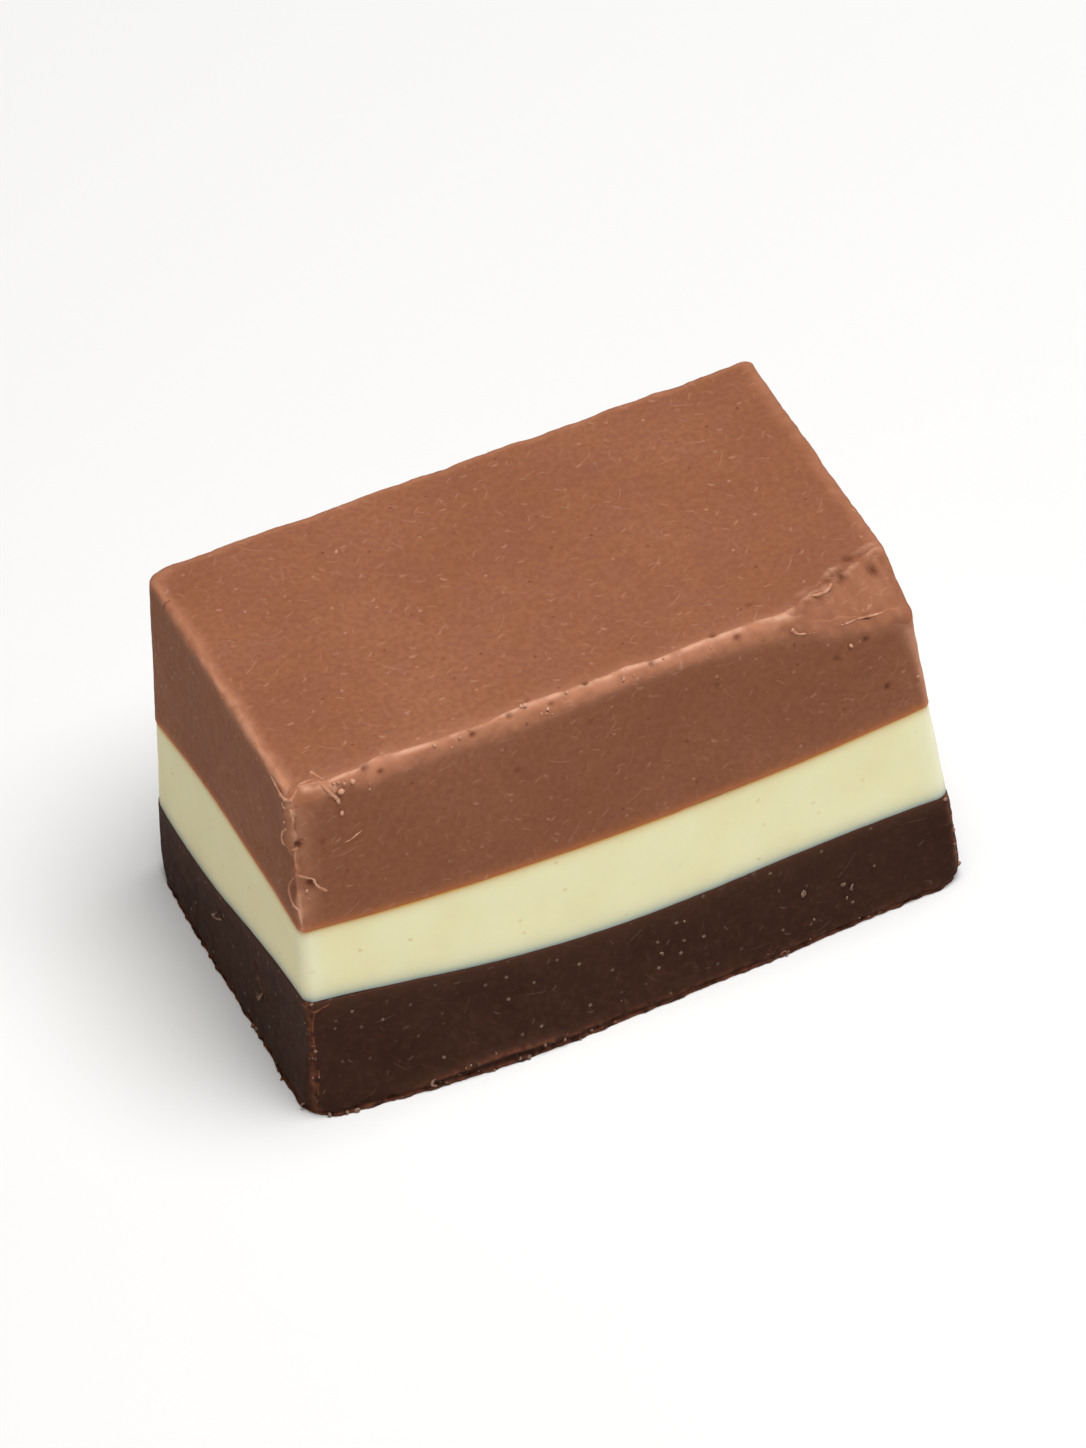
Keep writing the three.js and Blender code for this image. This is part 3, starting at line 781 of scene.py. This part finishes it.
# ----------------------------------------
# Crumbs and curls. Cutting broke off grains of nougat of 0.1 to 0.3 mm, which stick along the rims of
# the dark foot and the worn edges of the milk-brown layer, and turned up small curls on the dark rims.
# ----------------------------------------
# x, y, z and size in millimetres of the largest crumbs, at the front corners and on the worn band.
MILK_CRUMBS = [
    (-11.74, -7.68, 16.65, 0.16), (-11.53, -7.72, 16.64, 0.20), (-11.30, -7.77, 16.55, 0.22),
    (-10.95, -7.79, 16.53, 0.26), (-11.50, -7.81, 16.27, 0.26), (-11.67, -7.85, 15.85, 0.28),
    (-11.61, -7.88, 15.18, 0.20), (-3.11, -7.33, 16.77, 0.20), (-2.29, -7.70, 16.52, 0.16),
    (-1.30, -7.44, 16.71, 0.18), (-7.27, -7.68, 16.74, 0.14), (-6.14, -7.71, 16.70, 0.12),
    (1.10, -7.68, 16.63, 0.16), (2.98, -7.52, 16.78, 0.12), (10.96, -7.93, 14.34, 0.18),
    (13.68, -8.08, 11.51, 0.20), (8.56, -7.81, 16.10, 0.17), (-13.62, -8.09, 11.75, 0.15),
]
DARK_CRUMBS = [
    (-14.17, -8.81, 0.11, 0.30), (-13.10, -9.15, 0.08, 0.28), (-13.50, -9.05, 0.08, 0.22),
    (-14.30, -8.47, 4.43, 0.13), (-14.32, -8.55, 3.55, 0.13), (-14.35, -8.66, 2.23, 0.13),
    (-3.96, -9.64, 0.43, 0.16), (-4.83, -9.63, 0.51, 0.16), (-2.72, -9.58, 0.20, 0.16),
    (-5.60, -9.70, 0.10, 0.20), (-1.61, -9.56, 0.15, 0.14),
]


def crumb_tree(name, placed=False, curled=False):
    """Small rough balls or curled threads: scattered over a layer as densely as its mesh is marked
    crumbly, in patches, or placed one at each point of a mesh with the size that it carries."""
    tree, given = start_tree(name, layer="Geometry", per_square_mm="Float", patch_size="Float",
                             smallest="Float", largest="Float", seed="Int", finish="Material")
    if placed:
        points = given["layer"]
        size = add(tree, "GeometryNodeInputNamedAttribute", {"Name": "size"}, data_type="FLOAT")
    else:
        place = add(tree, "GeometryNodeInputPosition")
        scale = add(tree, "ShaderNodeMath", {0: 1.0, 1: given["patch_size"]}, operation="DIVIDE")
        noise = add(tree, "ShaderNodeTexNoise", {"Vector": place, "Scale": scale})
        patches = add(tree, "ShaderNodeMapRange", {"Value": noise, "From Min": 0.45, "From Max": 0.62,
                                                   "To Max": 1 / MM**2})
        density = add(tree, "GeometryNodeInputNamedAttribute", {"Name": "crumbly"}, data_type="FLOAT")
        for factor in (patches, given["per_square_mm"]):
            density = add(tree, "ShaderNodeMath", {0: density, 1: factor}, operation="MULTIPLY")
        points = add(tree, "GeometryNodeDistributePointsOnFaces",
                     {"Mesh": given["layer"], "Density": density, "Seed": given["seed"]})
        chance = add(tree, "FunctionNodeRandomValue", {2: 0.0, 3: 1.0, "Seed": given["seed"]}, out=1)
        chance = add(tree, "ShaderNodeMath", {0: chance, 1: 2.5}, operation="POWER")
        size = add(tree, "ShaderNodeMapRange", {"Value": chance, "To Min": given["smallest"],
                                                "To Max": given["largest"]})
    if curled:
        loop = add(tree, "GeometryNodeCurveArc", {"Resolution": 9, "Radius": 0.5, "Sweep Angle": 4.4})
        ring = add(tree, "GeometryNodeCurvePrimitiveCircle", {"Resolution": 6, "Radius": 0.14})
        shape = add(tree, "GeometryNodeCurveToMesh", {"Curve": loop, "Profile Curve": ring,
                                                      "Fill Caps": True})
    else:
        shape = add(tree, "GeometryNodeMeshUVSphere", {0: 7, 1: 5, 2: 0.5})
    squeeze = add(tree, "FunctionNodeRandomValue", {0: (0.7, 0.7, 0.5), 1: (1.2, 1.2, 0.9), "Seed": 5},
                  data_type="FLOAT_VECTOR")
    sizes = add(tree, "ShaderNodeVectorMath", {0: squeeze, "Scale": size}, operation="SCALE")
    spin = add(tree, "FunctionNodeRandomValue", {0: (-3.1, -3.1, -3.1), 1: (3.1, 3.1, 3.1), "Seed": 6},
               data_type="FLOAT_VECTOR")
    crumbs = add(tree, "GeometryNodeInstanceOnPoints",
                 {"Points": points, "Instance": shape, "Rotation": spin, "Scale": sizes})
    crumbs = add(tree, "GeometryNodeRealizeInstances", {"Geometry": crumbs})
    depth = add(tree, "ShaderNodeMath", {0: given["smallest"], 1: 0.3}, operation="MULTIPLY")
    end_tree(tree, roughen(tree, crumbs, [(depth, 0.12 * MM, None)]), given["finish"])
    return tree


def scatter_crumbs(tree, layer, name, slot, **values):
    """Scatters crumbs or curls over a layer, as a piece of their own."""
    crumbs = put_in_scene(name, layer.data.copy())
    apply_tree(crumbs, tree, **values)
    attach(crumbs, "root")


CRUMB_LIFT = 0.04


def place_crumbs(tree, layer, name, crumbs, finish):
    """Puts single crumbs of these places and sizes on a layer, as a piece of their own."""
    places = on_surface(layer, [crumb[:3] for crumb in crumbs], CRUMB_LIFT)
    mesh = bpy.data.meshes.new(name)
    mesh.from_pydata((places * MM).tolist(), [], [])
    mark_points(mesh, "size", [crumb[3] * MM for crumb in crumbs])
    piece = put_in_scene(name, mesh)
    apply_tree(piece, tree, smallest=0.1 * MM, finish=finish)
    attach(piece, "root")


scattered_crumbs = crumb_tree("scattered_crumbs")
scattered_curls = crumb_tree("scattered_curls", curled=True)
placed_crumbs = crumb_tree("placed_crumbs", placed=True)
dark_crumb_finish = dark_nougat_material("dark_nougat_crumb", crumb=True)
milk_crumb_finish = milk_nougat_material("milk_nougat_crumb", crumb=True)
scatter_crumbs(scattered_crumbs, dark_nougat, "dark_crumbs", "dark_nougat", per_square_mm=12.0,
               patch_size=3.0 * MM, smallest=0.09 * MM, largest=0.36 * MM, seed=4,
               finish=dark_crumb_finish)
scatter_crumbs(scattered_curls, dark_nougat, "dark_curls", "dark_nougat", per_square_mm=1.5,
               patch_size=4.0 * MM, smallest=0.3 * MM, largest=0.6 * MM, seed=11,
               finish=dark_crumb_finish)
scatter_crumbs(scattered_crumbs, milk_nougat, "milk_crumbs", "milk_nougat", per_square_mm=1.6,
               patch_size=2.5 * MM, smallest=0.07 * MM, largest=0.26 * MM, seed=9,
               finish=milk_crumb_finish)
place_crumbs(placed_crumbs, milk_nougat, "milk_large_crumbs", MILK_CRUMBS,
             milk_crumb_finish)
place_crumbs(placed_crumbs, dark_nougat, "dark_large_crumbs", DARK_CRUMBS,
             dark_crumb_finish)

# ----------------------------------------
# Flakes and threads. A knife drawn down the block smears soft nougat over its edges, where it sets as
# thin raised threads and small folds. These lie at the worn corners and along the facet's lower edge.
# ----------------------------------------
# For each thread: its half widths at both ends and in the middle, then its points, in millimetres.
MILK_THREADS = [
    ((0.03, 0.10, 0.08), [(-13.72, -5.9, 16.5), (-13.75, -6.3, 16.4), (-13.78, -6.75, 16.26),
                          (-13.7, -7.2, 16.3), (-13.57, -7.5, 16.4)]),
    ((0.03, 0.06, 0.04), [(-13.8, -7.0, 16.1), (-13.8, -7.3, 15.95), (-13.77, -7.55, 16.15)]),
    ((0.08, 0.06, 0.10), [(-13.57, -7.53, 16.41), (-13.25, -7.4, 16.6), (-12.96, -7.33, 16.7),
                          (-12.44, -7.3, 16.76), (-12.17, -7.6, 16.66), (-11.92, -7.8, 16.3),
                          (-11.67, -7.85, 15.9)]),
    ((0.11, 0.06, 0.04), [(-12.3, -6.75, 16.8), (-12.2, -7.0, 16.78), (-12.06, -7.38, 16.75),
                          (-11.61, -7.72, 16.63)]),
    ((0.06, 0.09, 0.09), [(-13.65, -7.65, 16.1), (-13.7, -7.62, 15.43), (-13.78, -7.5, 14.9),
                          (-13.8, -7.42, 14.56), (-13.82, -7.48, 14.3), (-13.8, -7.62, 14.05),
                          (-13.7, -7.75, 13.97), (-13.58, -7.8, 14.05)]),
    ((0.07, 0.05, 0.07), [(-13.7, -7.75, 14.0), (-13.75, -7.75, 13.5), (-13.8, -7.8, 13.0),
                          (-13.85, -7.9, 12.6)]),
    ((0.06, 0.05, 0.04), [(-14.0, -7.98, 10.9), (-14.0, -8.05, 10.4), (-14.0, -8.1, 9.9)]),
    ((0.05, 0.10, 0.06), [(-13.9, -7.9, 12.6), (-14.03, -7.5, 12.2), (-14.08, -7.24, 11.75),
                          (-14.12, -7.19, 11.4), (-14.12, -7.4, 11.1), (-14.08, -7.75, 11.0),
                          (-14.0, -7.98, 10.9)]),
    ((0.07, 0.06, 0.07), [(-13.84, -7.98, 12.58), (-13.6, -8.05, 12.46), (-13.32, -8.09, 12.2),
                          (-13.12, -8.07, 11.93), (-12.76, -8.1, 11.5)]),
    ((0.08, 0.05, 0.03), [(8.5, -7.8, 16.1), (8.75, -7.82, 15.85), (9.04, -7.85, 15.72),
                          (9.5, -7.86, 15.6)]),
    ((0.03, 0.05, 0.03), [(10.7, -7.86, 15.45), (11.1, -7.86, 15.45), (11.6, -7.85, 15.42),
                          (12.3, -7.83, 15.35), (12.6, -7.83, 15.3)]),
    ((0.05, 0.10, 0.05), [(9.9, -6.9, 16.7), (10.2, -6.95, 16.65), (10.6, -6.85, 16.65),
                          (10.9, -6.62, 16.7)]),
    ((0.03, 0.04, 0.03), [(-11.7, -7.97, 13.62), (-11.4, -7.98, 13.65), (-11.1, -7.97, 13.8),
                          (-10.85, -7.96, 13.9)]),
]
DARK_THREADS = [
    ((0.05, 0.07, 0.04), [(-14.42, -7.9, 5.75), (-14.36, -8.26, 5.8), (-14.1, -8.44, 5.55),
                          (-13.79, -8.44, 5.6), (-13.4, -8.44, 5.7)]),
    ((0.04, 0.03, 0.04), [(-14.1, -8.44, 5.5), (-14.23, -8.45, 5.0), (-14.3, -8.47, 4.43),
                          (-14.32, -8.5, 3.9), (-14.33, -8.55, 3.55)]),
    ((0.03, 0.03, 0.06), [(-14.33, -8.6, 2.9), (-14.35, -8.66, 2.23), (-14.5, -8.7, 1.5),
                          (-14.6, -8.73, 0.97), (-14.73, -8.65, 0.64)]),
    ((0.02, 0.03, 0.02), [(-14.5, -2.2, 4.4), (-14.6, -2.8, 3.7), (-14.65, -3.3, 3.0),
                          (-14.75, -4.2, 2.5), (-14.75, -4.8, 1.9)]),
]


def thread_tree():
    """Raised threads along the lines of a mesh, as thick as its half widths, with a rough skin."""
    tree, given = start_tree("nougat_threads", lines="Geometry", step="Float", rough_depth="Float",
                             rough_size="Float", finish="Material")
    curves = add(tree, "GeometryNodeMeshToCurve", {0: given["lines"]})
    curves = add(tree, "GeometryNodeCurveSplineType", {0: curves}, spline_type="CATMULL_ROM")
    curves = add(tree, "GeometryNodeResampleCurve", {"Curve": curves, "Length": given["step"]},
                 mode="LENGTH")
    half_width = add(tree, "GeometryNodeInputNamedAttribute", {"Name": "half_width"}, data_type="FLOAT")
    ring = add(tree, "GeometryNodeCurvePrimitiveCircle", {"Resolution": 7, "Radius": 1.0})
    threads = add(tree, "GeometryNodeCurveToMesh", {"Curve": curves, "Profile Curve": ring,
                                                    "Scale": half_width, "Fill Caps": True})
    threads = roughen(tree, threads, [(given["rough_depth"], given["rough_size"], None)])
    end_tree(tree, threads, given["finish"])
    return tree


# How deep a thread's middle line lies in the layer, as a share of its half width.
THREAD_SINK = 0.3


def lay_threads(layer, name, slot, threads, **marks):
    """Lays these threads on a layer, of its own material, with these marks on their mesh."""
    places, lines, half_widths = [], [], []
    for widths, points in threads:
        start = len(places)
        lines += [(start + number, start + number + 1) for number in range(len(points) - 1)]
        half_widths += list(np.interp(np.linspace(0, 2, len(points)), [0, 1, 2], widths))
        places += points
    places = on_surface(layer, places, -THREAD_SINK * np.array(half_widths))
    mesh = bpy.data.meshes.new(name)
    mesh.from_pydata((places * MM).tolist(), lines, [])
    marks["half_width"] = np.array(half_widths) * MM
    for mark, value in marks.items():
        mark_points(mesh, mark, np.broadcast_to(value, len(places)).astype(float))
    piece = put_in_scene(name, mesh)
    apply_tree(piece, nougat_threads, step=0.07 * MM, rough_depth=0.025 * MM, rough_size=0.2 * MM,
               finish=layer.data.materials[0])
    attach(piece, "root")


nougat_threads = thread_tree()
# The threads are marked fully: pale, with a painted highlight along them.
lay_threads(milk_nougat, "milk_threads", "milk_nougat", MILK_THREADS, to_white=FAR, rubbed=1.0,
            burr=0.9)
lay_threads(dark_nougat, "dark_threads", "dark_nougat", DARK_THREADS, to_white=FAR, rubbed=1.0)

# ----------------------------------------
# The stage: a pale matt floor, a large soft light high above the front right of the block, a faint
# warm one low at its left, and the camera in front, to the left and above, held slightly askew.
# ----------------------------------------
VIEW_AZIMUTH, VIEW_ELEVATION = math.radians(-18.84), math.radians(42.35)
VIEW_ROLL = math.radians(-6.94)
VIEW_DISTANCE = 0.5
VIEW_LENS = 300.0
FLOOR_SIZE = 1.2


def toward(azimuth, elevation):
    """Unit vector from the block to a place at that azimuth from the front and that height."""
    level = math.cos(elevation)
    return Vector((math.sin(azimuth) * level, -math.cos(azimuth) * level, math.sin(elevation)))


# Matt white card: it takes soft shadows and throws a little light back, and shows no shine.
def make_floor():
    half = FLOOR_SIZE / 2
    mesh = bpy.data.meshes.new("floor")
    mesh.from_pydata([(-half, -half, 0), (half, -half, 0), (half, half, 0), (-half, half, 0)], [],
                     [(0, 1, 2, 3)])
    floor = put_in_scene("floor", mesh)
    material = bpy.data.materials.new("matt_white_floor")
    material.use_nodes = True
    connect(material.node_tree, material.node_tree.nodes["Principled BSDF"],
            {"Base Color": linear("eeeeee"), "Roughness": 0.9})
    mesh.materials.append(material)


def make_light(name, azimuth, elevation, distance, size, power, colour="ffffff"):
    light = bpy.data.lights.new(name, "AREA")
    light.shape = "DISK"
    light.size = size
    light.energy = power
    light.color = linear(colour)[:3]
    lamp = put_in_scene(name, light)
    back = toward(math.radians(azimuth), math.radians(elevation))
    lamp.location = back * distance
    lamp.rotation_mode = "QUATERNION"
    lamp.rotation_quaternion = back.to_track_quat("Z", "Y")


def make_camera():
    middle = (Vector(solid_low) + Vector(solid_high)) / 2
    back = toward(VIEW_AZIMUTH, VIEW_ELEVATION)
    camera = put_in_scene("camera", bpy.data.cameras.new("camera"))
    camera.data.lens = VIEW_LENS
    camera.data.clip_start = 0.05
    roll = Matrix.Rotation(VIEW_ROLL, 4, "Z")
    turned = back.to_track_quat("Z", "Y").to_matrix().to_4x4() @ roll
    camera.matrix_world = Matrix.Translation(middle + back * VIEW_DISTANCE) @ turned
    bpy.context.scene.camera = camera


make_floor()
make_light("soft_key", azimuth=40, elevation=75.5, distance=0.6, size=0.5, power=4.8)
make_light("warm_fill", azimuth=-80, elevation=15, distance=0.7, size=0.5, power=0.35,
           colour="ffcf50")
make_camera()
world = bpy.data.worlds.new("white_room")
world.use_nodes = True
connect(world.node_tree, world.node_tree.nodes["Background"],
        {"Color": linear("ffffff"), "Strength": 0.03})
bpy.context.scene.world = world
bpy.context.scene.view_settings.view_transform = "Standard"
